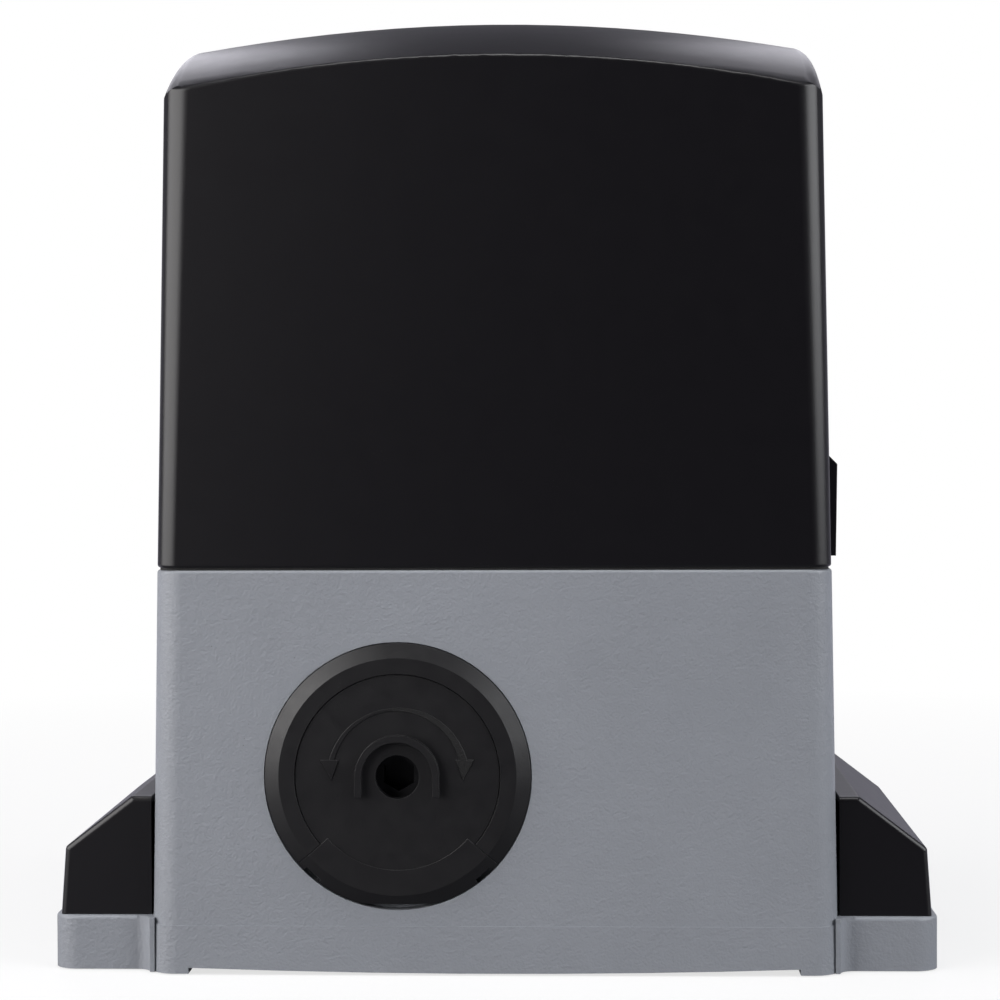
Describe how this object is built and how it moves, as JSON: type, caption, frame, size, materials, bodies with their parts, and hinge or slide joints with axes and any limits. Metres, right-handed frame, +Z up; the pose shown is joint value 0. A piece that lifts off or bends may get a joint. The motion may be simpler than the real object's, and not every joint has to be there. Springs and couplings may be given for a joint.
{
  "type": "sliding gate motor",
  "caption": "Sliding gate motor: cast base with foot flanges, moulded covers, worm-geared output shaft with rack pinion and front key release.",
  "frame": {"origin": "centre of the four anchor slots, on the underside of the base", "axes": "+Z up, -Y the front with the release plate, +X to the right of someone facing the front; the output shaft lies along Y"},
  "size_m": [0.2962, 0.2419, 0.3236],
  "materials": {
    "grey_casting": "textured powder coat on die-cast aluminium",
    "black_cover_plastic": "fine-grained moulded plastic",
    "black_release_plastic": "satin moulded plastic",
    "blackened_steel": "oil-blackened, turned",
    "black_switch_plastic": "moulded plastic",
    "black_rubber": "moulded rubber",
    "bronze": "machined bronze",
    "cast_aluminium": "as cast",
    "machined_steel": "turned and ground",
    "gear_steel": "hobbed, lightly oiled",
    "bearing_steel": "ground",
    "spring_steel": "tempered",
    "zinc_plated_steel": "zinc plated",
    "lamination_steel": "stacked laminations, varnished",
    "copper_winding": "varnished copper wire",
    "capacitor_case": "moulded case",
    "grey_nylon": "moulded nylon",
    "circuit_board": "solder-masked laminate",
    "green_terminal_plastic": "moulded plastic"
  },
  "bodies": {
    "root": {"housing": "grey_casting", "cover_gasket": "black_rubber", "release_ring": "black_release_plastic", "release_bush": "bronze", "spindle_retainer": "spring_steel", "front_bearing": "bearing_steel", "rear_bearing": "bearing_steel", "rear_flange": "cast_aluminium", "shaft_seal": "black_rubber", "rear_flange_screws": "zinc_plated_steel", "gearcase_gasket": "black_rubber", "gearcase_lid": "cast_aluminium", "lid_screws": "zinc_plated_steel", "motor_base": "cast_aluminium", "stator_stack": "lamination_steel", "stator_windings": "copper_winding", "motor_end_bell": "cast_aluminium", "motor_bolts": "zinc_plated_steel", "lower_motor_bearing": "bearing_steel", "middle_motor_bearing": "bearing_steel", "upper_motor_bearing": "bearing_steel", "capacitor": "capacitor_case", "capacitor_clamp": "grey_nylon", "board_bracket": "zinc_plated_steel", "bracket_screws": "zinc_plated_steel", "board_spacers": "grey_nylon", "control_board": "circuit_board", "terminal_blocks": "green_terminal_plastic", "relays": "black_switch_plastic", "transformer_core": "lamination_steel", "transformer_coil": "copper_winding", "limit_switch": "black_switch_plastic", "cable_grommet": "black_rubber"},
    "output": {"output_shaft": "machined_steel", "pinion_key": "machined_steel", "drive_pinion": "gear_steel", "pinion_washer": "zinc_plated_steel", "pinion_bolt": "zinc_plated_steel", "worm_wheel": "bronze", "clutch_spring": "spring_steel", "shaft_spacer": "machined_steel"},
    "clutch": {"clutch_sleeve": "machined_steel", "clutch_pin": "machined_steel", "push_rod": "machined_steel"},
    "spindle": {"release_spindle": "blackened_steel"},
    "slider": {"release_slider": "machined_steel"},
    "motor": {"motor_shaft": "machined_steel", "rotor": "lamination_steel"},
    "feeler": {"feeler_lever": "black_switch_plastic", "feeler_spring": "spring_steel"},
    "cover": {"top_cover": "black_cover_plastic", "cover_screws": "zinc_plated_steel", "cover_nuts": "zinc_plated_steel"},
    "left_foot": {"left_foot_cover": "black_cover_plastic"},
    "right_foot": {"right_foot_cover": "black_cover_plastic"},
    "plate": {"release_plate": "black_release_plastic"}
  },
  "joints": [
    {"name": "output_spin", "type": "hinge", "parent": "root", "child": "output", "pos_m": [-0.0316, 0, 0.0658], "axis": [0, 1, 0], "continuous": true},
    {"name": "motor_spin", "type": "hinge", "parent": "root", "child": "motor", "pos_m": [0.0094, 0, 0], "axis": [0, 0, 1], "continuous": true},
    {"name": "release_turn", "type": "hinge", "parent": "root", "child": "spindle", "pos_m": [-0.0316, 0, 0.0658], "axis": [0, 1, 0], "range_deg": [0, 180]},
    {"name": "slider_travel", "type": "slide", "parent": "root", "child": "slider", "axis": [0, 1, 0], "range_m": [0, 0.003]},
    {"name": "clutch_travel", "type": "slide", "parent": "output", "child": "clutch", "axis": [0, 1, 0], "range_m": [0, 0.003], "deforming": ["clutch_spring"]},
    {"name": "feeler_swing", "type": "hinge", "parent": "root", "child": "feeler", "pos_m": [-0.0316, 0.08971, 0], "axis": [0, 0, 1], "range_deg": [-35, 35], "stiffness_Nm_per_rad": 0.3},
    {"name": "cover_lift", "type": "slide", "parent": "root", "child": "cover", "axis": [0, 0, 1], "range_m": [0, 0.16]},
    {"name": "left_foot_cover_lift", "type": "slide", "parent": "root", "child": "left_foot", "axis": [0, 0, 1], "range_m": [0, 0.05]},
    {"name": "right_foot_cover_lift", "type": "slide", "parent": "root", "child": "right_foot", "axis": [0, 0, 1], "range_m": [0, 0.05]},
    {"name": "release_plate_pull", "type": "slide", "parent": "root", "child": "plate", "axis": [0, -1, 0], "range_m": [0, 0.012]}
  ],
  "couplings": [
    {"joint": "motor_spin", "follows": "output_spin", "ratio": 30},
    {"joint": "release_turn", "follows": "slider_travel", "rad_per_m": 1047},
    {"joint": "clutch_travel", "follows": "slider_travel", "ratio": 1}
  ]
}
